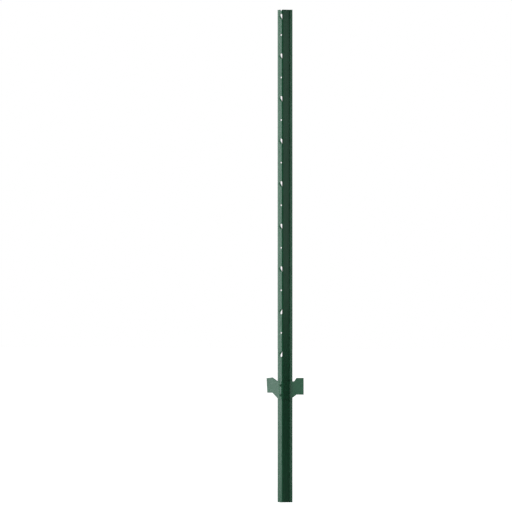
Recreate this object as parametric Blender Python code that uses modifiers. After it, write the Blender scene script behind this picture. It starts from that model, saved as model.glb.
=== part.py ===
"""Light-duty U-channel fence post, 4 ft, with a riveted anchor plate.

The post is one strip of sheet steel rolled to a hat section, with its web to the front (-Y),
its legs splayed towards the back and its flanges swept back. Wire lugs are lanced out of the web
between round tie holes. A folded anchor plate wraps the web and legs near the foot and is held by
two hollow rivets. Metres, +Z up, origin at the middle of the web sheet at the foot of the post.
"""

import math

import bmesh
import bpy
from mathutils import Matrix, Vector

# Sheet and section of the post, measured on the middle of the sheet
POST_HEIGHT = 1.2192
SHEET = 0.0019
WEB_HALF_WIDTH = 0.0036
LEG_DEPTH = 0.0185
LEG_FOOT_HALF_WIDTH = 0.0131
FLANGE_LENGTH = 0.0080
FLANGE_SWEEP = math.radians(8)
WEB_BEND_RADIUS = 0.0036
FLANGE_BEND_RADIUS = 0.0036
BEND_STEPS = 7

# Round tie holes down the web from the top end, as far as the anchor plate leaves room
TIE_HOLE_RADIUS = 0.0022
TOP_TIE_HOLE_BELOW_END = 0.0627
TIE_HOLE_PITCH = 0.1053
ROOM_ABOVE_PLATE = 0.0100

# Slots and the wire lugs lanced out of them, one midway below each tie hole and one near the top
SLOT_WIDTH = 0.0056
SLOT_HEIGHT = 0.0135
SLOT_CORNER_RADIUS = 0.0012
SLOT_TIP_RADIUS = 0.0025
TOP_SLOT_BELOW_END = 0.0173
DOWNWARD_LUG_COUNT = 2
LUG_SIDE_CLEARANCE = 0.0004
LUG_SKIN_LOSS = 0.0001
LUG_ROOT_OVERLAP = 0.0015
LUG_KNEE = 0.0011
LUG_TIP_LENGTH = 0.0032
LUG_ANGLE = math.radians(48)
LUG_TIP_ANGLE = math.radians(22)
LUG_BEND_RADIUS = 0.0022
LUG_TIP_RADIUS = 0.0021
LUG_TIP_STEPS = 5

# Half-round notch that the cutting die leaves in the top end
END_NOTCH_RADIUS = 0.0027

# Anchor plate, folded to nest on the front of the post
PLATE_SHEET = 0.0019
PLATE_GAP = 0.0003
PLATE_CENTRE_HEIGHT = 0.2776
PLATE_HEIGHT = 0.0438
PLATE_HALF_SPAN = 0.0515
LEFT_EAR_LENGTH = 0.0160
LEFT_EAR_TOP = 0.0312
LEFT_EAR_TOP_FALL = 0.0021
LEFT_EAR_TIP_LEAN = 0.0024
LEFT_EAR_BOTTOM = -0.0069
LEFT_LEDGE_TOP = 0.0195
RIGHT_EAR_LENGTH = 0.0185
RIGHT_EAR_TOP = 0.0304
RIGHT_EAR_TOP_FALL = 0.0
RIGHT_EAR_TIP_LEAN = 0.0
RIGHT_EAR_BOTTOM = -0.0110
RIGHT_LEDGE_TOP = 0.0268
LEDGE_BOTTOM = 0.0178

# Hollow rivets that hold the plate to the web
RIVET_SPACING = 0.0240
RIVET_BODY_RADIUS = 0.0021
RIVET_HOLE_CLEARANCE = 0.0003
RIVET_HEAD_RADIUS = 0.0033
RIVET_HEAD_HEIGHT = 0.0010
RIVET_HEAD_RIM = 0.0003
RIVET_LIP = 0.0004
RIVET_RECESS_RADIUS = 0.00155
RIVET_RECESS_DEPTH = 0.0036
RIVET_TAIL_CLEARANCE = 0.00035
RIVET_TAIL_LENGTH = 0.0022
RIVET_SEAT_GAP = 0.0003
RIVET_STEPS = 28
RIVET_DOME_STEPS = 4

# Cutters run this far past what they cut
CUT_MARGIN = 0.0020
HOLE_STEPS = 24
CORNER_STEPS = 4

MOSS_GREEN = (0.020, 0.085, 0.050, 1.0)
RIVET_GREEN = (0.016, 0.070, 0.042, 1.0)


def clear_scene():
    for item in list(bpy.data.objects):
        bpy.data.objects.remove(item, do_unlink=True)


def new_collection(name):
    collection = bpy.data.collections.new(name)
    bpy.context.scene.collection.children.link(collection)
    return collection


def powder_coat(name, colour, roughness):
    material = bpy.data.materials.new(name)
    material.use_nodes = True
    shader = material.node_tree.nodes["Principled BSDF"]
    shader.inputs["Base Color"].default_value = colour
    shader.inputs["Roughness"].default_value = roughness
    shader.inputs["Metallic"].default_value = 0.0
    material.diffuse_color = colour
    return material


def add_object(name, bm, collection, material=None):
    """Turn a bmesh into an object of the collection."""
    mesh = bpy.data.meshes.new(name)
    bm.to_mesh(mesh)
    bm.free()
    item = bpy.data.objects.new(name, mesh)
    collection.objects.link(item)
    if material:
        mesh.materials.append(material)
    return item


def add_cutter(name, bm, collection):
    item = add_object(name, bm, collection)
    item.hide_render = True
    item.display_type = "WIRE"
    return item


def bent_line(corners, radii, steps):
    """Points of a flat strip bent at its inner corners, each with its own radius."""
    points = [corners[0].copy()]
    for before, corner, after, radius in zip(corners, corners[1:], corners[2:], radii):
        back = (before - corner).normalized()
        ahead = (after - corner).normalized()
        turn = math.pi - back.angle(ahead)
        start = corner + back * radius * math.tan(turn / 2)
        centre = corner + (back + ahead).normalized() * radius / math.cos(turn / 2)
        side = 1 if back.x * ahead.y - back.y * ahead.x < 0 else -1
        for step in range(steps + 1):
            swing = Matrix.Rotation(side * turn * step / steps, 2)
            points.append(centre + swing @ (start - centre))
    points.append(corners[-1].copy())
    return points


def bent_sheet(name, line, bottom, top, thickness, collection, material):
    """A strip of sheet with the given section, standing from bottom to top."""
    bm = bmesh.new()
    feet = [bm.verts.new((point.x, point.y, bottom)) for point in line]
    edges = [bm.edges.new(pair) for pair in zip(feet, feet[1:])]
    raised = bmesh.ops.extrude_edge_only(bm, edges=edges)["geom"]
    upper = [part for part in raised if isinstance(part, bmesh.types.BMVert)]
    bmesh.ops.translate(bm, verts=upper, vec=(0, 0, top - bottom))
    sheet = add_object(name, bm, collection, material)
    shell = sheet.modifiers.new("sheet thickness", "SOLIDIFY")
    shell.thickness = thickness
    shell.offset = 0
    shell.use_even_offset = True
    return sheet


def boolean(target, operation, tool, name):
    cut = target.modifiers.new(name, "BOOLEAN")
    cut.operation = operation
    cut.solver = "EXACT"
    cut.object = tool


def post_section():
    """Half section of the post from the web's middle outwards: web corner, leg foot, flange tip."""
    web_corner = Vector((WEB_HALF_WIDTH, 0))
    leg_foot = Vector((LEG_FOOT_HALF_WIDTH, LEG_DEPTH))
    sweep = Vector((math.cos(FLANGE_SWEEP), math.sin(FLANGE_SWEEP)))
    return web_corner, leg_foot, leg_foot + FLANGE_LENGTH * sweep


def front_offset_corner(corner, before, after, distance):
    """Where the two strips that meet at a corner cross once both move forward by a distance."""
    first = (corner - before).normalized()
    second = (after - corner).normalized()
    first_normal = Vector((first.y, -first.x))
    second_normal = Vector((second.y, -second.x))
    spread = 1 + first_normal.dot(second_normal)
    return corner + distance * (first_normal + second_normal) / spread


def post_line():
    web_corner, leg_foot, flange_tip = post_section()
    corners = [flange_tip, leg_foot, web_corner]
    corners += [Vector((-point.x, point.y)) for point in reversed(corners)]
    radii = [FLANGE_BEND_RADIUS, WEB_BEND_RADIUS, WEB_BEND_RADIUS, FLANGE_BEND_RADIUS]
    return bent_line(corners, radii, BEND_STEPS)


def plate_offset():
    return SHEET / 2 + PLATE_GAP + PLATE_SHEET / 2


def plate_line():
    """Section of the anchor plate, nested on the front of the post."""
    web_corner, leg_foot, flange_tip = post_section()
    offset = plate_offset()
    middle = Vector((0, 0))
    plate_corner = front_offset_corner(web_corner, middle, leg_foot, offset)
    wing_root = front_offset_corner(leg_foot, web_corner, flange_tip, offset)
    widest = PLATE_HALF_SPAN + max(LEFT_EAR_TIP_LEAN, RIGHT_EAR_TIP_LEAN)
    wing_run = widest + CUT_MARGIN - wing_root.x
    wing_tip = wing_root + Vector((wing_run, wing_run * math.tan(FLANGE_SWEEP)))
    corners = [wing_tip, wing_root, plate_corner]
    corners += [Vector((-point.x, point.y)) for point in reversed(corners)]
    inner = max(FLANGE_BEND_RADIUS - offset, PLATE_SHEET / 2 + PLATE_GAP)
    outer = WEB_BEND_RADIUS + offset
    return bent_line(corners, [inner, outer, outer, inner], BEND_STEPS)


def tie_hole_heights():
    """Heights of the tie holes, lowest first, with room for a slot below each of them."""
    plate_top = PLATE_CENTRE_HEIGHT + max(PLATE_HEIGHT / 2, LEFT_EAR_TOP, RIGHT_EAR_TOP)
    lowest = plate_top + ROOM_ABOVE_PLATE + SLOT_HEIGHT / 2 + TIE_HOLE_PITCH / 2
    top = POST_HEIGHT - TOP_TIE_HOLE_BELOW_END
    more = math.floor((top - lowest) / TIE_HOLE_PITCH)
    return [top - TIE_HOLE_PITCH * step for step in range(more, -1, -1)]


def slot_heights():
    below_holes = [height - TIE_HOLE_PITCH / 2 for height in tie_hole_heights()]
    return below_holes + [POST_HEIGHT - TOP_SLOT_BELOW_END]


def lug_directions():
    """Which way each lug points, lowest first: the lowest few down (-1), the others up (1)."""
    return [-1 if index < DOWNWARD_LUG_COUNT else 1 for index in range(len(slot_heights()))]


def rivet_heights():
    return [PLATE_CENTRE_HEIGHT - RIVET_SPACING / 2, PLATE_CENTRE_HEIGHT + RIVET_SPACING / 2]


def add_drill(bm, height, radius, length):
    """A round cutter along Y through the web at a height."""
    turn = Matrix.Rotation(math.pi / 2, 4, "X")
    place = Matrix.Translation((0, 0, height)) @ turn
    bmesh.ops.create_cone(bm, cap_ends=True, segments=HOLE_STEPS, radius1=radius,
                          radius2=radius, depth=length, matrix=place)


def slot_outline():
    """Front outline of a slot about its middle: small corners at the root, a round end at the tip."""
    points = []
    for index in range(4):
        across = 1 if index in (0, 3) else -1
        along = 1 if index < 2 else -1
        radius = SLOT_TIP_RADIUS if along > 0 else SLOT_CORNER_RADIUS
        centre = Vector((across * (SLOT_WIDTH / 2 - radius), along * (SLOT_HEIGHT / 2 - radius)))
        for step in range(CORNER_STEPS + 1):
            turn = math.pi / 2 * (index + step / CORNER_STEPS)
            points.append(centre + radius * Vector((math.cos(turn), math.sin(turn))))
    return points


def add_slot_punch(bm, height, direction, length):
    """A cutter for one slot, whose round end is where the tip of its lug was."""
    outline = [(direction * point.x, -length / 2, height + direction * point.y)
               for point in slot_outline()]
    face = bm.faces.new([bm.verts.new(point) for point in outline])
    swept = bmesh.ops.extrude_face_region(bm, geom=[face])["geom"]
    moved = [part for part in swept if isinstance(part, bmesh.types.BMVert)]
    bmesh.ops.translate(bm, verts=moved, vec=(0, length, 0))


def web_punches(cutters):
    """All that is punched through the web: tie holes, slots, rivet holes and the end notch."""
    bm = bmesh.new()
    length = SHEET + 2 * CUT_MARGIN
    for height in tie_hole_heights():
        add_drill(bm, height, TIE_HOLE_RADIUS, length)
    for height, direction in zip(slot_heights(), lug_directions()):
        add_slot_punch(bm, height, direction, length)
    for height in rivet_heights():
        add_drill(bm, height, RIVET_BODY_RADIUS + RIVET_HOLE_CLEARANCE, length)
    add_drill(bm, POST_HEIGHT, END_NOTCH_RADIUS, length)
    bmesh.ops.recalc_face_normals(bm, faces=bm.faces)
    return add_cutter("web_punches", bm, cutters)


def lug_path():
    """Side view of one lug: how far along the web and how far out from it, root first."""
    run = Vector((math.cos(LUG_ANGLE), math.sin(LUG_ANGLE)))
    tip_run = Vector((math.cos(LUG_TIP_ANGLE), math.sin(LUG_TIP_ANGLE)))
    root = Vector((-LUG_ROOT_OVERLAP, 0))
    knee = Vector((LUG_KNEE, 0))
    shoulder = knee + (SLOT_HEIGHT - LUG_KNEE - LUG_TIP_LENGTH) * run
    tip = shoulder + LUG_TIP_LENGTH * tip_run
    path = bent_line([root, knee, shoulder, tip], [LUG_BEND_RADIUS, LUG_BEND_RADIUS], BEND_STEPS)
    turns = [math.pi / 2 * step / LUG_TIP_STEPS for step in range(LUG_TIP_STEPS)]
    path[-1:] = [tip - LUG_TIP_RADIUS * (1 - math.sin(turn)) * tip_run for turn in turns]
    return path + [tip]


def lug_half_width(from_tip):
    """Half the lug's width at a distance from its tip, whose corners are round."""
    short = max(0, LUG_TIP_RADIUS - from_tip)
    rounding = LUG_TIP_RADIUS - math.sqrt(LUG_TIP_RADIUS ** 2 - short ** 2)
    return SLOT_WIDTH / 2 - LUG_SIDE_CLEARANCE - rounding


def add_lug(bm, root_height, direction):
    """One lug as a bent solid strip, rising (1) or pointing down (-1) from its root."""
    path = lug_path()
    rings = []
    for before, point, after in zip(path[:1] + path, path, path[1:] + path[-1:]):
        ahead = (after - before).normalized()
        skin = Vector((-ahead.y, ahead.x)) * (SHEET / 2 - LUG_SKIN_LOSS)
        half = lug_half_width((path[-1] - point).length)
        corners = [(-half, point + skin), (half, point + skin),
                   (half, point - skin), (-half, point - skin)]
        rings.append([bm.verts.new((direction * across, -side.y, root_height + direction * side.x))
                      for across, side in corners])
    for lower, upper in zip(rings, rings[1:]):
        for index in range(4):
            after = (index + 1) % 4
            bm.faces.new((lower[index], lower[after], upper[after], upper[index]))
    bm.faces.new(rings[0])
    bm.faces.new(rings[-1])


def wire_lugs(cutters):
    """The lugs of every slot."""
    bm = bmesh.new()
    for height, direction in zip(slot_heights(), lug_directions()):
        add_lug(bm, height - direction * SLOT_HEIGHT / 2, direction)
    bmesh.ops.recalc_face_normals(bm, faces=bm.faces)
    return add_cutter("wire_lugs", bm, cutters)


def make_post(parts, cutters, material):
    post = bent_sheet("post_channel", post_line(), 0, POST_HEIGHT, SHEET, parts, material)
    boolean(post, "DIFFERENCE", web_punches(cutters), "punched web")
    boolean(post, "UNION", wire_lugs(cutters), "lanced lugs")
    return post


def ear_outline(side, ear_length, ear_top, top_fall, tip_lean, ear_bottom, ledge_top):
    """Half the plate's front outline, from the top middle to the bottom middle."""
    ear_root = PLATE_HALF_SPAN - ear_length
    half_height = PLATE_HEIGHT / 2
    steps = [
        (ledge_top, half_height),
        (ear_root, ear_top),
        (PLATE_HALF_SPAN + tip_lean, ear_top - top_fall),
        (PLATE_HALF_SPAN, ear_bottom),
        (ear_root, ear_bottom),
        (LEDGE_BOTTOM, -half_height),
    ]
    return [Vector((side * across, PLATE_CENTRE_HEIGHT + rise)) for across, rise in steps]


def plate_blank(cutters):
    """The plate's front outline as a block, to be shared with the folded sheet."""
    right = ear_outline(1, RIGHT_EAR_LENGTH, RIGHT_EAR_TOP, RIGHT_EAR_TOP_FALL,
                        RIGHT_EAR_TIP_LEAN, RIGHT_EAR_BOTTOM, RIGHT_LEDGE_TOP)
    left = ear_outline(-1, LEFT_EAR_LENGTH, LEFT_EAR_TOP, LEFT_EAR_TOP_FALL,
                       LEFT_EAR_TIP_LEAN, LEFT_EAR_BOTTOM, LEFT_LEDGE_TOP)
    front = -plate_offset() - PLATE_SHEET - CUT_MARGIN
    back = LEG_DEPTH + PLATE_HALF_SPAN * math.tan(FLANGE_SWEEP) + 2 * CUT_MARGIN
    bm = bmesh.new()
    corners = [bm.verts.new((point.x, front, point.y)) for point in right + list(reversed(left))]
    face = bm.faces.new(corners)
    swept = bmesh.ops.extrude_face_region(bm, geom=[face])["geom"]
    moved = [part for part in swept if isinstance(part, bmesh.types.BMVert)]
    bmesh.ops.translate(bm, verts=moved, vec=(0, back - front, 0))
    bmesh.ops.recalc_face_normals(bm, faces=bm.faces)
    return add_cutter("plate_blank", bm, cutters)


def plate_drills(cutters):
    bm = bmesh.new()
    for height in rivet_heights():
        length = 2 * (plate_offset() + PLATE_SHEET + CUT_MARGIN)
        add_drill(bm, height, RIVET_BODY_RADIUS + RIVET_HOLE_CLEARANCE, length)
    return add_cutter("plate_drills", bm, cutters)


def make_plate(parts, cutters, material):
    tallest = max(PLATE_HEIGHT / 2, LEFT_EAR_TOP, RIGHT_EAR_TOP) + CUT_MARGIN
    bottom = PLATE_CENTRE_HEIGHT - PLATE_HEIGHT / 2 - CUT_MARGIN
    top = PLATE_CENTRE_HEIGHT + tallest
    plate = bent_sheet("anchor_plate", plate_line(), bottom, top, PLATE_SHEET, parts, material)
    boolean(plate, "INTERSECT", plate_blank(cutters), "blank outline")
    boolean(plate, "DIFFERENCE", plate_drills(cutters), "rivet holes")
    return plate


def room_behind_web(depth):
    """Half the clear width inside the web bends, at a depth behind the middle of the web sheet."""
    web_corner, leg_foot, _ = post_section()
    turn = Vector((1, 0)).angle(leg_foot - web_corner)
    flat_half = WEB_HALF_WIDTH - WEB_BEND_RADIUS * math.tan(turn / 2)
    inner_radius = WEB_BEND_RADIUS - SHEET / 2
    return flat_half + math.sqrt(max(0, inner_radius ** 2 - (WEB_BEND_RADIUS - depth) ** 2))


def rivet_outline():
    """Half section of a rivet, out from the recess floor, over the head and down to the tail."""
    head_top = RIVET_HEAD_HEIGHT
    dome_foot = RIVET_RECESS_RADIUS + RIVET_LIP
    dome_reach = RIVET_HEAD_RADIUS - dome_foot
    dome_rise = head_top - RIVET_HEAD_RIM
    tail_top = -(PLATE_SHEET + PLATE_GAP + SHEET + 2 * RIVET_SEAT_GAP)
    tail_room = room_behind_web(SHEET / 2 + RIVET_SEAT_GAP) - RIVET_TAIL_CLEARANCE
    tail_radius = max(tail_room, RIVET_BODY_RADIUS)
    turns = [math.pi / 2 * step / RIVET_DOME_STEPS for step in range(RIVET_DOME_STEPS + 1)]
    recess_floor = head_top - RIVET_RECESS_DEPTH
    recess = [(0, recess_floor), (RIVET_RECESS_RADIUS, recess_floor), (RIVET_RECESS_RADIUS, head_top)]
    dome = [(dome_foot + dome_reach * math.sin(turn), RIVET_HEAD_RIM + dome_rise * math.cos(turn))
            for turn in turns]
    shank = [(RIVET_HEAD_RADIUS, 0), (RIVET_BODY_RADIUS, 0), (RIVET_BODY_RADIUS, tail_top)]
    tail = [(tail_radius * math.cos(turn), tail_top - RIVET_TAIL_LENGTH * math.sin(turn))
            for turn in turns[:-1]]
    tail += [(0, tail_top - RIVET_TAIL_LENGTH)]
    return [Vector(point) for point in recess + dome + shank + tail]


def make_rivet(name, height, parts, material):
    bm = bmesh.new()
    verts = [bm.verts.new((point.x, 0, point.y)) for point in rivet_outline()]
    for pair in zip(verts, verts[1:]):
        bm.edges.new(pair)
    rivet = add_object(name, bm, parts, material)
    turned = rivet.modifiers.new("turned", "SCREW")
    turned.axis = "Z"
    turned.steps = RIVET_STEPS
    turned.render_steps = RIVET_STEPS
    turned.use_merge_vertices = True
    turned.merge_threshold = 0.00001
    turned.use_smooth_shade = True
    front_of_plate = -plate_offset() - PLATE_SHEET / 2
    rivet.location = (0, front_of_plate - RIVET_SEAT_GAP, height)
    rivet.rotation_euler = (math.pi / 2, 0, 0)
    return rivet


clear_scene()
parts = new_collection("u_channel_fence_post")
cutters = new_collection("cutters")
coat = powder_coat("moss_green_powder_coat", MOSS_GREEN, 0.38)
rivet_coat = powder_coat("coated_rivet", RIVET_GREEN, 0.45)

make_post(parts, cutters, coat)
make_plate(parts, cutters, coat)
lower_height, upper_height = rivet_heights()
make_rivet("upper_rivet", upper_height, parts, rivet_coat)
make_rivet("lower_rivet", lower_height, parts, rivet_coat)
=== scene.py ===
"""A U-channel fence post with its riveted anchor plate, in a plain white studio."""

import math

import bmesh
import bpy
from mathutils import Matrix, Vector


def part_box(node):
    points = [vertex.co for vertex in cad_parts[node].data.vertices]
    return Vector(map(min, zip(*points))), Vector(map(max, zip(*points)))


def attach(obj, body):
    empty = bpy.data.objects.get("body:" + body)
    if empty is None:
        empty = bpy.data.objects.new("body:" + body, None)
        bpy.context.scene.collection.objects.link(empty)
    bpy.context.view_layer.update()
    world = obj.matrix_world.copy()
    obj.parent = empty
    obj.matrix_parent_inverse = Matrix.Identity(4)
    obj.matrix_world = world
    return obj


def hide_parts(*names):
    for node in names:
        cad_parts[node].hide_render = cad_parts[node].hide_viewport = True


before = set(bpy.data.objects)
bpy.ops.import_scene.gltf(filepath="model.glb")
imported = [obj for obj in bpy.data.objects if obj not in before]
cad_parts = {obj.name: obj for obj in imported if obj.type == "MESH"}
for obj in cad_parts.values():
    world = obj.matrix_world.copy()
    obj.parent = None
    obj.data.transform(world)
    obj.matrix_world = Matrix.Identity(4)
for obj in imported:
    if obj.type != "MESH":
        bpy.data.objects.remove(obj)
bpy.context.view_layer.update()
for item in bpy.context.selected_objects:
    item.select_set(False)


# Moss green powder coat on all the steel.
# A semi-gloss polyester powder, baked on: a slightly uneven flow like fine orange peel, and a faint
# drift of colour and gloss along the length.

coat_green = (0.010, 0.096, 0.040, 1)
coat_green_pale = (0.013, 0.112, 0.047, 1)


def powder_coat(name, gloss_low, gloss_high, peel):
    """A powder-coat material whose roughness lies between two values, with a peel of that depth."""
    coat = bpy.data.materials.new(name)
    coat.use_nodes = True
    nodes = coat.node_tree.nodes
    links = coat.node_tree.links
    shader = nodes["Principled BSDF"]
    place = nodes.new("ShaderNodeTexCoord")

    drift = nodes.new("ShaderNodeTexNoise")
    drift.inputs["Scale"].default_value = 9
    drift.inputs["Detail"].default_value = 3
    links.new(place.outputs["Object"], drift.inputs["Vector"])
    tone = nodes.new("ShaderNodeValToRGB")
    tone.color_ramp.elements[0].position = 0.35
    tone.color_ramp.elements[0].color = coat_green
    tone.color_ramp.elements[1].position = 0.68
    tone.color_ramp.elements[1].color = coat_green_pale
    links.new(drift.outputs["Fac"], tone.inputs["Fac"])
    links.new(tone.outputs["Color"], shader.inputs["Base Color"])

    flow = nodes.new("ShaderNodeTexNoise")
    flow.inputs["Scale"].default_value = 60
    flow.inputs["Detail"].default_value = 2
    links.new(place.outputs["Object"], flow.inputs["Vector"])
    gloss = nodes.new("ShaderNodeMapRange")
    gloss.inputs["From Min"].default_value = 0.3
    gloss.inputs["From Max"].default_value = 0.7
    gloss.inputs["To Min"].default_value = gloss_low
    gloss.inputs["To Max"].default_value = gloss_high
    links.new(flow.outputs["Fac"], gloss.inputs["Value"])
    links.new(gloss.outputs["Result"], shader.inputs["Roughness"])

    skin = nodes.new("ShaderNodeTexNoise")
    skin.inputs["Scale"].default_value = 700
    skin.inputs["Detail"].default_value = 2
    links.new(place.outputs["Object"], skin.inputs["Vector"])
    bump = nodes.new("ShaderNodeBump")
    bump.inputs["Strength"].default_value = peel
    bump.inputs["Distance"].default_value = 0.0001
    links.new(skin.outputs["Fac"], bump.inputs["Height"])
    links.new(bump.outputs["Normal"], shader.inputs["Normal"])
    return coat


post_coat = powder_coat("moss_green_powder_coat", 0.32, 0.38, 0.25)


# Rolled post.
# One strip of 14 gauge steel, punched flat, rolled to a hat section and cut to 4 ft. It is made
# the same way here: a flat strip is punched, then it is rolled and its lugs are bent out.

sheet = 0.0019
post_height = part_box("post_channel")[1].z
web_half_width = 0.0036
leg_depth = 0.0185
leg_foot_half_width = 0.0131
flange_length = 0.0080
flange_sweep = math.radians(8)
web_bend_radius = 0.0036
flange_bend_radius = 0.0036
bend_steps = 6

hole_steps = 36
corner_steps = 8
tiny = 1e-6

leg_run = Vector((leg_foot_half_width - web_half_width, leg_depth))
web_turn = math.atan2(leg_run.y, leg_run.x)
foot_turn = web_turn - flange_sweep
web_set_back = web_bend_radius * math.tan(web_turn / 2)
foot_set_back = flange_bend_radius * math.tan(foot_turn / 2)
web_flat = web_half_width - web_set_back
leg_flat = leg_run.length - web_set_back - foot_set_back
flange_flat = flange_length - foot_set_back
post_runs = [
    (web_flat, 0),
    (web_bend_radius * web_turn, web_turn),
    (leg_flat, 0),
    (flange_bend_radius * foot_turn, -foot_turn),
    (flange_flat, 0),
]


def bent_place(distance, runs):
    """Where a point of the flat sheet lies once bent, ahead and aside, and how far it is turned.

    The runs, from the middle of the sheet on, are each a length and the turn along it."""
    left = abs(distance)
    ahead = aside = heading = 0
    for length, turn in runs:
        part = min(left, length)
        bend = turn * part / length
        chord = part * math.sin(bend / 2) / (bend / 2) if abs(bend) > tiny else part
        ahead += chord * math.cos(heading + bend / 2)
        aside += chord * math.sin(heading + bend / 2)
        heading += bend
        left -= part
    return math.copysign(ahead, distance), aside, math.copysign(heading, distance)


def fold_lines(runs, steps):
    """Distances from the sheet's middle at which it gets an edge, on both sides."""
    lines = [0]
    for length, turn in runs:
        count = steps if turn else 1
        lines += [lines[-1] + length / count * (step + 1) for step in range(count)]
    return [-line for line in reversed(lines[1:])] + lines


def flat_grid(name, columns, rows):
    """A flat sheet standing in the plane of X and Z, with an edge at each column and row."""
    bpy.ops.mesh.primitive_grid_add(x_subdivisions=len(columns) - 1,
                                    y_subdivisions=len(rows) - 1, size=2)
    flat = bpy.context.object
    flat.name = name
    across = len(columns) - 1
    up = len(rows) - 1
    for vert in flat.data.vertices:
        column = round((vert.co.x + 1) / 2 * across)
        row = round((vert.co.y + 1) / 2 * up)
        vert.co = (columns[column], 0, rows[row])
    return flat


def open_cells(flat, cells):
    """Take the faces out of rectangular cells of a flat sheet: each is left, right, low and high."""
    bpy.ops.object.mode_set(mode="EDIT")
    bpy.ops.mesh.select_all(action="DESELECT")
    bpy.ops.mesh.select_mode(type="FACE")
    mesh = bmesh.from_edit_mesh(flat.data)
    for face in mesh.faces:
        spot = face.calc_center_median()
        if any(left < spot.x < right and low < spot.z < high for left, right, low, high in cells):
            face.select_set(True)
    bmesh.update_edit_mesh(flat.data)
    bpy.ops.mesh.delete(type="FACE")
    bpy.ops.object.mode_set(mode="OBJECT")


def flat_blank(name, outlines):
    """A flat piece in the plane of X and Z, within its outer outline and outside its holes."""
    bpy.ops.mesh.primitive_circle_add(vertices=len(outlines[0]), fill_type="NOTHING")
    flat = bpy.context.object
    flat.name = name
    bpy.ops.object.mode_set(mode="EDIT")
    bpy.ops.mesh.select_mode(type="VERT")
    drawn = 0
    for outline in outlines:
        if drawn:
            bpy.ops.mesh.primitive_circle_add(vertices=len(outline), fill_type="NOTHING")
        mesh = bmesh.from_edit_mesh(flat.data)
        mesh.verts.ensure_lookup_table()
        for number, (x, z) in enumerate(outline):
            mesh.verts[drawn + number].co = (x, 0, z)
        bmesh.update_edit_mesh(flat.data)
        drawn += len(outline)
    bpy.ops.mesh.select_all(action="SELECT")
    bpy.ops.mesh.fill(use_beauty=True)
    bpy.ops.object.mode_set(mode="OBJECT")
    return flat


def score(flat, lines, across):
    """Give a flat piece an edge along each line, so that it can bend there."""
    bpy.ops.object.mode_set(mode="EDIT")
    for line in lines:
        bpy.ops.mesh.select_all(action="SELECT")
        bpy.ops.mesh.bisect(plane_co=across * line, plane_no=across, threshold=tiny / 10)
    bpy.ops.object.mode_set(mode="OBJECT")


def moved_outline(outline, distance):
    """A closed outline moved to its right-hand side by a distance, with its corners kept."""
    moved = []
    for number, spot in enumerate(outline):
        before = Vector(spot) - Vector(outline[number - 1])
        after = Vector(outline[(number + 1) % len(outline)]) - Vector(spot)
        rights = [Vector((run.y, -run.x)).normalized() for run in (before, after)]
        miter = (rights[0] + rights[1]) / (1 + rights[0].dot(rights[1]))
        moved.append(tuple(Vector(spot) + miter * distance))
    return moved


def arc(centre, radius, first, last, steps):
    """Points of an arc between two angles, both ends among them."""
    turns = [first + (last - first) * step / steps for step in range(steps + 1)]
    return [(centre[0] + radius * math.cos(turn), centre[1] + radius * math.sin(turn))
            for turn in turns]


def round_outline(height, radius):
    """A closed round outline in the middle of the sheet."""
    return arc((0, height), radius, 0, 2 * math.pi, hole_steps)[:-1]


rim_radius = 0.0002
rim_steps = 3


def weigh(flat):
    """Give a flat piece the group whose weights say how much of its thickness each spot keeps."""
    weights = flat.vertex_groups.new(name="sheet")
    weights.add(range(len(flat.data.vertices)), 1, "REPLACE")
    return weights


def stiffen_flats(flat, runs):
    """Let the flats of a sheet lead the shading over the bends beside them."""
    flats = []
    start = 0
    for length, turn in runs:
        if not turn:
            flats.append((start, start + length))
        start += length
    bpy.ops.object.mode_set(mode="EDIT")
    bpy.ops.mesh.select_mode(type="FACE")
    bpy.ops.mesh.select_all(action="DESELECT")
    mesh = bmesh.from_edit_mesh(flat.data)
    for face in mesh.faces:
        reach = abs(face.calc_center_median().x)
        face.select_set(any(low < reach < high for low, high in flats))
    bmesh.update_edit_mesh(flat.data)
    bpy.ops.mesh.mod_weighted_strength(set=True, face_strength="STRONG")
    bpy.ops.object.mode_set(mode="OBJECT")


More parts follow.
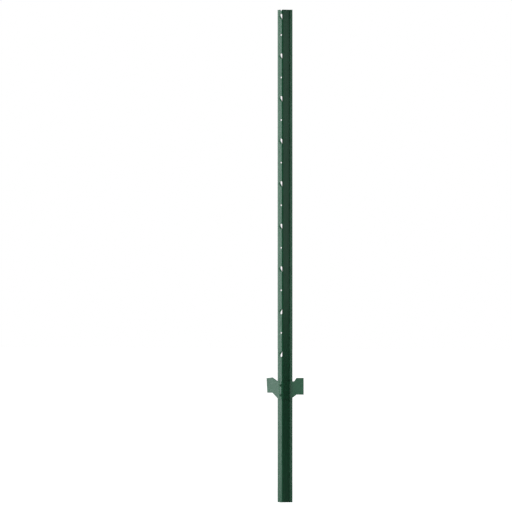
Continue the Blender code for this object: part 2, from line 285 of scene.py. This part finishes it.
def round_rims(flat, thickness, side=math.inf):
    """Grow the open edges short of a side by lips whose weights thin out in a quarter circle."""
    bpy.ops.object.mode_set(mode="EDIT")
    bpy.ops.mesh.select_mode(type="EDGE")
    bpy.ops.mesh.select_all(action="DESELECT")
    mesh = bmesh.from_edit_mesh(flat.data)
    outward = {}
    for edge in mesh.edges:
        if edge.is_boundary and min(abs(vert.co.x) for vert in edge.verts) < side - tiny:
            edge.select_set(True)
            start, end = (vert.co for vert in edge.verts)
            away = Vector((end.z - start.z, 0, start.x - end.x)).normalized()
            if away.dot(edge.link_faces[0].calc_center_median() - start) > 0:
                away.negate()
            for spot in (start, end):
                outward.setdefault(tuple(spot), []).append(away)
    bmesh.update_edit_mesh(flat.data)
    gone = 0
    for step in range(1, rim_steps + 1):
        turn = math.pi / 2 * step / rim_steps
        reach = rim_radius * math.sin(turn)
        share = 1 - 2 * rim_radius * (1 - math.cos(turn)) / thickness
        bpy.ops.mesh.extrude_region_move()
        mesh = bmesh.from_edit_mesh(flat.data)
        weights = mesh.verts.layers.deform.verify()
        moved = {}
        for vert in mesh.verts:
            if vert.select:
                sides = outward[tuple(vert.co)]
                push = sum(sides, Vector())
                if len(sides) == 2:
                    push /= 1 + sides[0].dot(sides[1])
                vert.co += push * (reach - gone)
                vert[weights][0] = min(vert[weights].get(0, 1), share)
                moved[tuple(vert.co)] = sides
        outward = moved
        gone = reach
        bmesh.update_edit_mesh(flat.data)
    bpy.ops.mesh.select_mode(type="FACE")
    bpy.ops.mesh.select_all(action="DESELECT")
    mesh = bmesh.from_edit_mesh(flat.data)
    weights = mesh.verts.layers.deform.verify()
    for face in mesh.faces:
        face.select_set(any(vert[weights].get(0, 1) < 1 for vert in face.verts))
    bmesh.update_edit_mesh(flat.data)
    bpy.ops.mesh.mod_weighted_strength(set=True, face_strength="WEAK")
    bpy.ops.object.mode_set(mode="OBJECT")


def thicken(flat, thickness):
    """Give a flat piece the thickness of its sheet, half to each side, less at its rounded rims."""
    bpy.ops.object.mode_set(mode="EDIT")
    bpy.ops.mesh.select_all(action="SELECT")
    bpy.ops.mesh.normals_make_consistent(inside=False)
    bpy.ops.object.mode_set(mode="OBJECT")
    wall = flat.modifiers.new("sheet", "SOLIDIFY")
    wall.thickness = thickness
    wall.offset = 0
    wall.vertex_group = "sheet"
    bpy.ops.object.modifier_apply(modifier=wall.name)
    flat.vertex_groups.clear()


def shade_sheet(piece):
    """Shade a bent sheet smooth, with its flats flat."""
    bpy.ops.object.shade_smooth()
    flats = piece.modifiers.new("flat faces stay flat", "WEIGHTED_NORMAL")
    flats.mode = "CORNER_ANGLE"
    flats.use_face_influence = True
    bpy.ops.object.modifier_apply(modifier=flats.name)


# Places of the punches down the strip, from its top end.
tie_hole_radius = 0.0022
tie_hole_pitch = 0.1053
tie_hole_count = 8
top_tie_hole_below_end = 0.0627
top_slot_below_end = 0.0173
downward_lug_count = 2
top_tie_hole = post_height - top_tie_hole_below_end
tie_holes = [top_tie_hole - tie_hole_pitch * step for step in range(tie_hole_count)]
slots = [post_height - top_slot_below_end] + [hole - tie_hole_pitch / 2 for hole in tie_holes]
plate_centre = 0.2776
rivet_spacing = 0.0240
rivet_holes = [plate_centre - rivet_spacing / 2, plate_centre + rivet_spacing / 2]
rivet_hole_radius = 0.0024
notch_radius = 0.0027

# Lug and slot: the tongue is lanced on three sides, which leaves the slot, and bent out.
slot_width = 0.0056
slot_height = 0.0135
slot_tip_corner = 0.0025
lug_width = 0.0048
lug_root = 0.0003
lug_tip_corner = 0.0021
lug_rise = math.radians(48)
lug_tip_rise = math.radians(22)
lug_bend_radius = 0.0022
lug_knee = 0.0011
lug_tip_length = 0.0032
lug_tip_allowance = 0.00005
knee_set_back = lug_bend_radius * math.tan(lug_rise / 2)
crook_set_back = lug_bend_radius * math.tan((lug_rise - lug_tip_rise) / 2)
lug_runs = [
    (lug_knee - knee_set_back, 0),
    (lug_bend_radius * lug_rise, lug_rise),
    (slot_height - lug_knee - lug_tip_length - knee_set_back - crook_set_back, 0),
    (lug_bend_radius * (lug_rise - lug_tip_rise), lug_tip_rise - lug_rise),
    (lug_tip_length - crook_set_back, 0),
]
lug_length = sum(length for length, _ in lug_runs)
lug_feet = [(slot - slot_height / 2, 1) for slot in slots[:-downward_lug_count]]
lug_feet += [(slot + slot_height / 2, -1) for slot in slots[-downward_lug_count:]]
slot_side = slot_width / 2
lug_side = lug_width / 2
slot_corner = (slot_side - slot_tip_corner, slot_height - slot_tip_corner)
lug_corner = (lug_side - lug_tip_corner, lug_length - lug_tip_corner)
quarter = math.pi / 2
lanced = [(lug_side, lug_root), (slot_side, lug_root)]
lanced += arc(slot_corner, slot_tip_corner, 0, quarter, corner_steps)
lanced += arc((-slot_corner[0], slot_corner[1]), slot_tip_corner, quarter, math.pi, corner_steps)
lanced += [(-slot_side, lug_root), (-lug_side, lug_root)]
lanced += arc((-lug_corner[0], lug_corner[1]), lug_tip_corner, math.pi, quarter, corner_steps)
lanced += arc(lug_corner, lug_tip_corner, quarter, 0, corner_steps)

# Each punch works in a cell of the strip, which reaches out into the bends beside the web.
post_columns = fold_lines(post_runs, bend_steps)
middle = len(post_columns) // 2
columns_aside = 6
cell_columns = post_columns[middle - columns_aside:middle + columns_aside + 1]
cell_side = cell_columns[-1]
slot_margin = 0.0018
round_reach = 0.0034
strip_end = post_height - rim_radius


def cell_outline(low, high):
    """The outer edge of a cell of the strip, with a corner at each column."""
    return [(column, low) for column in cell_columns] + [
        (column, high) for column in reversed(cell_columns)]


def strip_cell(name, outlines):
    """A flat piece of the strip that one punch works in, with an edge at each column."""
    cell = flat_blank(name, outlines)
    score(cell, cell_columns[1:-1], Vector((1, 0, 0)))
    return cell


lug_start = lanced.index((-lug_side, lug_root))
lanced_rim = moved_outline(lanced, rim_radius)
lug = strip_cell("lug", [lanced_rim[lug_start:] + lanced_rim[:1]])
lug_rows = [row for row in fold_lines(lug_runs, bend_steps)[:-1] if row > lug_root]
score(lug, lug_rows, Vector((0, 0, 1)))
slot_cell = strip_cell("slot_cell", [cell_outline(-slot_margin, slot_height + slot_margin),
                                     lanced_rim[:lug_start + 1]])
lug.select_set(True)
bpy.ops.object.join()
tie_cell = strip_cell("tie_cell", [cell_outline(-round_reach, round_reach),
                                   round_outline(0, tie_hole_radius + rim_radius)])
rivet_cell = strip_cell("rivet_cell", [cell_outline(-round_reach, round_reach),
                                       round_outline(0, rivet_hole_radius + rim_radius)])

# The half notch that the cutting die leaves in the top end is half of a round hole.
notch_rim = notch_radius + rim_radius
notch_turn = math.asin(rim_radius / notch_rim)
notch_side = notch_rim * math.cos(notch_turn)
notch_low = post_height - round_reach
notch_edge = [(column, notch_low) for column in cell_columns]
notch_edge += [(column, strip_end) for column in reversed(cell_columns) if column > notch_side]
notch_edge += arc((0, post_height), notch_rim, -notch_turn, notch_turn - math.pi,
                  hole_steps // 2)
notch_edge += [(column, strip_end) for column in reversed(cell_columns) if column < -notch_side]
notch_cell = strip_cell("notch_cell", [notch_edge])

# The strip's long edges are mill edges, round from the slitting and rolling.
mill_edge_radius = 0.0008
mill_steps = 5
mill_turns = [quarter * step / mill_steps for step in range(mill_steps + 1)]
strip_side = post_columns[-1]
mill_lines = [strip_side - mill_edge_radius * (1 - math.sin(turn)) for turn in mill_turns]
mill_shares = [1 - 2 * mill_edge_radius * (1 - math.cos(turn)) / sheet for turn in mill_turns]
strip_columns = [-line for line in reversed(mill_lines)] + post_columns[1:-1] + mill_lines

# Each cell is copied to its places: the lugs point up, apart from the lowest ones. A place is the
# cell, its height, which way up it is, and where it starts and ends.
places = [(notch_cell, 0, 1, notch_low, strip_end)]
for foot, way in lug_feet:
    ends = sorted((foot - way * slot_margin, foot + way * (slot_height + slot_margin)))
    places.append((slot_cell, foot, way, *ends))
for holes, cell in ((tie_holes, tie_cell), (rivet_holes, rivet_cell)):
    places += [(cell, hole, 1, hole - round_reach, hole + round_reach) for hole in holes]
strip_rows = {round(end, 7) for place in places for end in place[3:]} | {rim_radius}
post = flat_grid("rolled_post", strip_columns, sorted(strip_rows))
open_cells(post, [(-cell_side, cell_side, low, high) for _, _, _, low, high in places])
bpy.ops.object.select_all(action="DESELECT")
for cell, height, way, _, _ in places:
    copy = cell.copy()
    copy.data = cell.data.copy()
    bpy.context.scene.collection.objects.link(copy)
    turned = Matrix.Rotation(0 if way > 0 else math.pi, 4, "Y")
    copy.data.transform(Matrix.Translation((0, 0, height)) @ turned)
    copy.select_set(True)
post.select_set(True)
bpy.context.view_layer.objects.active = post
bpy.ops.object.join()
for cell in (slot_cell, tie_cell, rivet_cell, notch_cell):
    bpy.data.objects.remove(cell)

# The cells are merged with the strip round them, before it gets its rims and its thickness.
seam_width = 0.00003
bpy.ops.object.mode_set(mode="EDIT")
bpy.ops.mesh.select_mode(type="VERT")
bpy.ops.mesh.select_all(action="SELECT")
bpy.ops.mesh.remove_doubles(threshold=seam_width)
bpy.ops.object.mode_set(mode="OBJECT")
stiffen_flats(post, post_runs)
weights = weigh(post)
for vert in post.data.vertices:
    for line, share in zip(mill_lines, mill_shares):
        if abs(abs(vert.co.x) - line) < tiny:
            weights.add([vert.index], share, "REPLACE")
round_rims(post, sheet, strip_side)
thicken(post, sheet)


def in_lug(x, travel):
    """Whether a spot of the flat strip, this far up from the foot of a slot, is on its lug."""
    from_corner = math.hypot(max(0, abs(x) - lug_corner[0]), travel - lug_corner[1])
    in_tip = travel < lug_corner[1] or from_corner < lug_tip_corner + lug_tip_allowance
    return abs(x) < lug_side + tiny and travel > lug_root and in_tip


# Rolling turns the flat strip into the hat section, and the lugs are bent out from the web.
for vert in post.data.vertices:
    x, depth, height = vert.co
    ahead, aside, roll = bent_place(x, post_runs)
    place = Vector((ahead, aside, height))
    lean = 0
    for foot, way in lug_feet:
        travel = way * (height - foot)
        if in_lug(x, travel):
            along, out, lean = bent_place(travel, lug_runs)
            place += Vector((0, -out, way * (along - travel)))
            lean *= way
    outward = Vector((-math.sin(roll), math.cos(roll) * math.cos(lean),
                      math.cos(roll) * math.sin(lean)))
    vert.co = place + outward * depth
shade_sheet(post)
post.data.materials.clear()
post.data.materials.append(post_coat)
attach(post, "root")
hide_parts("post_channel")


# Anchor plate.
# A blank of the same sheet, folded to lie on the front of the web and legs, with an ear on each
# side that bears on the soil. It is coated by itself, and the two rivets hold it to the web.

plate_gap = 0.0003
plate_sheet = 0.0019
plate_height = 0.0438
plate_half_span = 0.0515
plate_offset = sheet / 2 + plate_gap + plate_sheet / 2
ledge_bottom = 0.0178
right_ear = {"length": 0.0185, "top": 0.0304, "fall": 0, "lean": 0, "bottom": -0.0110,
             "ledge": 0.0268}
left_ear = {"length": 0.0160, "top": 0.0312, "fall": 0.0021, "lean": 0.0024, "bottom": -0.0069,
            "ledge": 0.0195}
plate_bends = [
    (web_flat, 0),
    ((web_bend_radius + plate_offset) * web_turn, web_turn),
    (leg_flat, 0),
    ((flange_bend_radius - plate_offset) * foot_turn, -foot_turn),
]
wing_start = sum(length for length, _ in plate_bends)
wing_foot = bent_place(wing_start, plate_bends)[0]
wing_end = wing_start + (plate_half_span + left_ear["lean"] - wing_foot) / math.cos(flange_sweep)
plate_runs = plate_bends + [(wing_end - wing_start, 0)]


def ear_outline(ear):
    """The right half of the blank's outline from its foot up: distance out in front view, height."""
    root = plate_half_span - ear["length"]
    return [
        (ledge_bottom, -plate_height / 2),
        (root, ear["bottom"]),
        (plate_half_span, ear["bottom"]),
        (plate_half_span + ear["lean"], ear["top"] - ear["fall"]),
        (root, ear["top"]),
        (ear["ledge"], plate_height / 2),
    ]


def on_blank(spot, side):
    """Where a point of the ear outline lies on the flat blank, to the right or, at -1, the left."""
    reach = wing_start + (spot[0] - wing_foot) / math.cos(flange_sweep)
    return side * reach, plate_centre + spot[1]


plate_edge = [on_blank(spot, 1) for spot in ear_outline(right_ear)]
plate_edge += [on_blank(spot, -1) for spot in reversed(ear_outline(left_ear))]
plate = flat_blank("folded_plate", [moved_outline(plate_edge, -rim_radius)] + [
    round_outline(hole, rivet_hole_radius + rim_radius) for hole in rivet_holes])
score(plate, fold_lines(plate_bends, bend_steps), Vector((1, 0, 0)))
stiffen_flats(plate, plate_runs)
weigh(plate)
round_rims(plate, plate_sheet)
thicken(plate, plate_sheet)
for vert in plate.data.vertices:
    x, depth, height = vert.co
    ahead, aside, fold = bent_place(x, plate_runs)
    vert.co = (ahead - depth * math.sin(fold), aside - plate_offset + depth * math.cos(fold), height)
shade_sheet(plate)
plate_coat = powder_coat("moss_green_powder_coat_plate", 0.32, 0.38, 0.25)
plate.data.materials.clear()
plate.data.materials.append(plate_coat)
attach(plate, "root")
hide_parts("anchor_plate")


# Hollow rivets.
# Two steel blind rivets, coated with the post: a low domed head on the plate with the hole that
# the broken pin leaves, and a round tail set behind the web.

rivet_head_radius = 0.0033
rivet_head_height = 0.0010
rivet_rim = 0.0003
rivet_recess_radius = 0.00155
rivet_recess_depth = 0.0036
rivet_lip = 0.0004
rivet_body_radius = 0.0021
rivet_seat_gap = 0.0003
rivet_tail_length = 0.0022
rivet_tail_crown = 0.000066
rivet_grip = plate_sheet + plate_gap + sheet + 2 * rivet_seat_gap
rivet_seat = -plate_offset - plate_sheet / 2 - rivet_seat_gap
rivet_tail_clearance = 0.00035
rivet_edge = 0.00005
rivet_sides = 40
inner_bend = web_bend_radius - sheet / 2
bend_drop = inner_bend - rivet_seat_gap
rivet_tail_radius = web_flat + math.sqrt(inner_bend ** 2 - bend_drop ** 2)
rivet_tail_radius -= rivet_tail_clearance
rivet_floor = rivet_head_height - rivet_recess_depth
dome_steps = 6
dome_turns = [quarter * step / dome_steps for step in range(dome_steps + 1)]
dome_foot = rivet_recess_radius + rivet_lip
rivet_rings = [(rivet_recess_radius, rivet_floor)]
rivet_rings += [(rivet_recess_radius + rivet_lip / 2 * (1 - math.cos(turn)),
                 rivet_head_height - rivet_lip / 2 * (1 - math.sin(turn))) for turn in dome_turns]
rivet_rings += [(dome_foot + (rivet_head_radius - dome_foot) * math.sin(turn),
                 rivet_rim + (rivet_head_height - rivet_rim) * math.cos(turn))
                for turn in dome_turns]
rivet_rings += [(rivet_head_radius, rivet_edge), (rivet_head_radius - rivet_edge, 0)]
rivet_rings += [(rivet_body_radius, 0), (rivet_body_radius, -rivet_grip)]
rivet_rings += [(rivet_tail_radius * math.cos(turn), -rivet_grip - rivet_tail_length * math.sin(turn))
                for turn in dome_turns[:-1]]
rivet_coat = powder_coat("moss_green_powder_coat_rivet", 0.38, 0.46, 0.3)

for name, node, height in (("upper_hollow_rivet", "upper_rivet", rivet_holes[1]),
                           ("lower_hollow_rivet", "lower_rivet", rivet_holes[0])):
    bpy.ops.object.select_all(action="DESELECT")
    first_radius, first_out = rivet_rings[0]
    bpy.ops.mesh.primitive_circle_add(vertices=rivet_sides, radius=first_radius, fill_type="TRIFAN",
                                      location=(0, rivet_seat - first_out, height),
                                      rotation=(math.pi / 2, 0, 0))
    rivet = bpy.context.object
    rivet.name = name
    bpy.ops.object.transform_apply(location=True, rotation=True, scale=True)
    bpy.ops.object.mode_set(mode="EDIT")
    bpy.ops.mesh.select_mode(type="EDGE")
    bpy.ops.mesh.select_all(action="DESELECT")
    bpy.ops.mesh.select_non_manifold()
    for radius, out in rivet_rings[1:]:
        bpy.ops.mesh.extrude_region_move()
        mesh = bmesh.from_edit_mesh(rivet.data)
        for vert in mesh.verts:
            if vert.select:
                spoke = Vector((vert.co.x, 0, vert.co.z - height)).normalized() * radius
                vert.co = (spoke.x, rivet_seat - out, height + spoke.z)
        bmesh.update_edit_mesh(rivet.data)
    bpy.ops.mesh.extrude_region_move()
    bpy.ops.transform.translate(value=(0, rivet_tail_crown, 0))
    bpy.ops.mesh.merge(type="CENTER")
    bpy.ops.mesh.select_all(action="SELECT")
    bpy.ops.mesh.normals_make_consistent(inside=False)
    bpy.ops.object.mode_set(mode="OBJECT")
    bpy.ops.object.shade_smooth_by_angle(angle=math.radians(40))
    rivet.data.materials.clear()
    rivet.data.materials.append(rivet_coat)
    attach(rivet, "root")
    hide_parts(node)


# Studio.
# White floor and surround, with a sweep behind the post that gloss mirrors, a tall softbox on the
# left as the one main light, a weak panel high on the right, and a long level lens.

view_turn = math.radians(30)
behind = Vector((-math.sin(view_turn), math.cos(view_turn), 0))


def studio_white(tree, coordinate, sweep_start, sweep_full):
    """How white the studio is: all round to the camera, and where the sweep stands to gloss."""
    nodes = tree.nodes
    links = tree.links
    place = nodes.new("ShaderNodeTexCoord")
    depth = nodes.new("ShaderNodeVectorMath")
    depth.operation = "DOT_PRODUCT"
    depth.inputs[1].default_value = behind
    links.new(place.outputs[coordinate], depth.inputs[0])
    sweep = nodes.new("ShaderNodeMapRange")
    sweep.interpolation_type = "SMOOTHSTEP"
    sweep.inputs["From Min"].default_value = sweep_start
    sweep.inputs["From Max"].default_value = sweep_full
    links.new(depth.outputs["Value"], sweep.inputs["Value"])
    path = nodes.new("ShaderNodeLightPath")
    mirrored = nodes.new("ShaderNodeMath")
    mirrored.operation = "ADD"
    links.new(path.outputs["Is Glossy Ray"], mirrored.inputs[0])
    links.new(path.outputs["Is Transmission Ray"], mirrored.inputs[1])
    white = nodes.new("ShaderNodeMath")
    white.operation = "MULTIPLY_ADD"
    links.new(mirrored.outputs["Value"], white.inputs[0])
    links.new(sweep.outputs["Result"], white.inputs[1])
    links.new(path.outputs["Is Camera Ray"], white.inputs[2])
    return white.outputs["Value"]


bpy.ops.object.select_all(action="DESELECT")
bpy.ops.mesh.primitive_plane_add(size=60, location=(0, 0, 0))
floor = bpy.context.object
floor.name = "studio_floor"
floor_white = bpy.data.materials.new("white_floor")
floor_white.use_nodes = True
nodes = floor_white.node_tree.nodes
links = floor_white.node_tree.links
matt = nodes["Principled BSDF"]
matt.inputs["Base Color"].default_value = (0.8, 0.8, 0.8, 1)
matt.inputs["Roughness"].default_value = 0.9
matt.inputs["Specular IOR Level"].default_value = 0.0
place = nodes.new("ShaderNodeTexCoord")
reach = nodes.new("ShaderNodeVectorMath")
reach.operation = "LENGTH"
links.new(place.outputs["Object"], reach.inputs[0])
fade = nodes.new("ShaderNodeMapRange")
fade.interpolation_type = "SMOOTHSTEP"
fade.inputs["From Min"].default_value = 0.3
fade.inputs["From Max"].default_value = 2.5
fade.inputs["To Min"].default_value = 0.80
fade.inputs["To Max"].default_value = 1.0
links.new(reach.outputs["Value"], fade.inputs["Value"])
lift = nodes.new("ShaderNodeMath")
lift.operation = "MULTIPLY"
links.new(fade.outputs["Result"], lift.inputs[0])
links.new(studio_white(floor_white.node_tree, "Object", 0.0, 1.0), lift.inputs[1])
glow = nodes.new("ShaderNodeEmission")
links.new(lift.outputs["Value"], glow.inputs["Strength"])
both = nodes.new("ShaderNodeAddShader")
links.new(matt.outputs["BSDF"], both.inputs[0])
links.new(glow.outputs["Emission"], both.inputs[1])
links.new(both.outputs["Shader"], nodes["Material Output"].inputs["Surface"])
floor.data.materials.append(floor_white)

world = bpy.data.worlds.new("white_surround")
bpy.context.scene.world = world
world.use_nodes = True
nodes = world.node_tree.nodes
links = world.node_tree.links
sky = nodes["Background"]
sky.inputs["Color"].default_value = (1, 1, 1, 1)
path = nodes.new("ShaderNodeLightPath")
room = nodes.new("ShaderNodeMath")
room.operation = "MULTIPLY_ADD"
room.inputs[1].default_value = 0.16
links.new(path.outputs["Is Diffuse Ray"], room.inputs[0])
links.new(studio_white(world.node_tree, "Generated", 0.0, 0.5), room.inputs[2])
links.new(room.outputs["Value"], sky.inputs["Strength"])

cool_white = (0.93, 1.0, 1.02)


def add_panel(name, turn, distance, height, width, tall, power):
    """A soft light panel that faces the post, turned round it from the front, left being minus."""
    bpy.ops.object.light_add(type="AREA")
    panel = bpy.context.object
    panel.name = name
    panel.visible_camera = False
    panel.data.color = cool_white
    panel.data.shape = "RECTANGLE"
    panel.data.size = width
    panel.data.size_y = tall
    panel.data.energy = power
    panel.location = (distance * math.sin(turn), -distance * math.cos(turn), height)
    panel.rotation_euler = (math.pi / 2, 0, turn)


add_panel("left_softbox", math.radians(-37), 1.7, 0.74, 0.9, 2.2, 34)
add_panel("right_panel", math.radians(115), 0.7, 1.12, 0.55, 1.35, 2.1)

lens = 600
camera_sensor = 36
frame_pixels = 512
post_pixels = 492.8
post_column = 281.14
frame_height = post_height * frame_pixels / post_pixels
stand_off = frame_height * lens / camera_sensor
sideways = (0.5 - post_column / frame_pixels) * frame_height
bpy.ops.object.camera_add()
camera = bpy.context.object
camera.data.lens = lens
camera.data.sensor_width = camera_sensor
camera.data.clip_end = 100
camera.rotation_euler = (math.pi / 2, 0, view_turn)
right = Vector((math.cos(view_turn), math.sin(view_turn), 0))
back = Vector((math.sin(view_turn), -math.cos(view_turn), 0))
camera.location = back * stand_off + right * sideways + Vector((0, 0, post_height / 2))
bpy.context.scene.camera = camera
bpy.context.scene.view_settings.view_transform = "Standard"
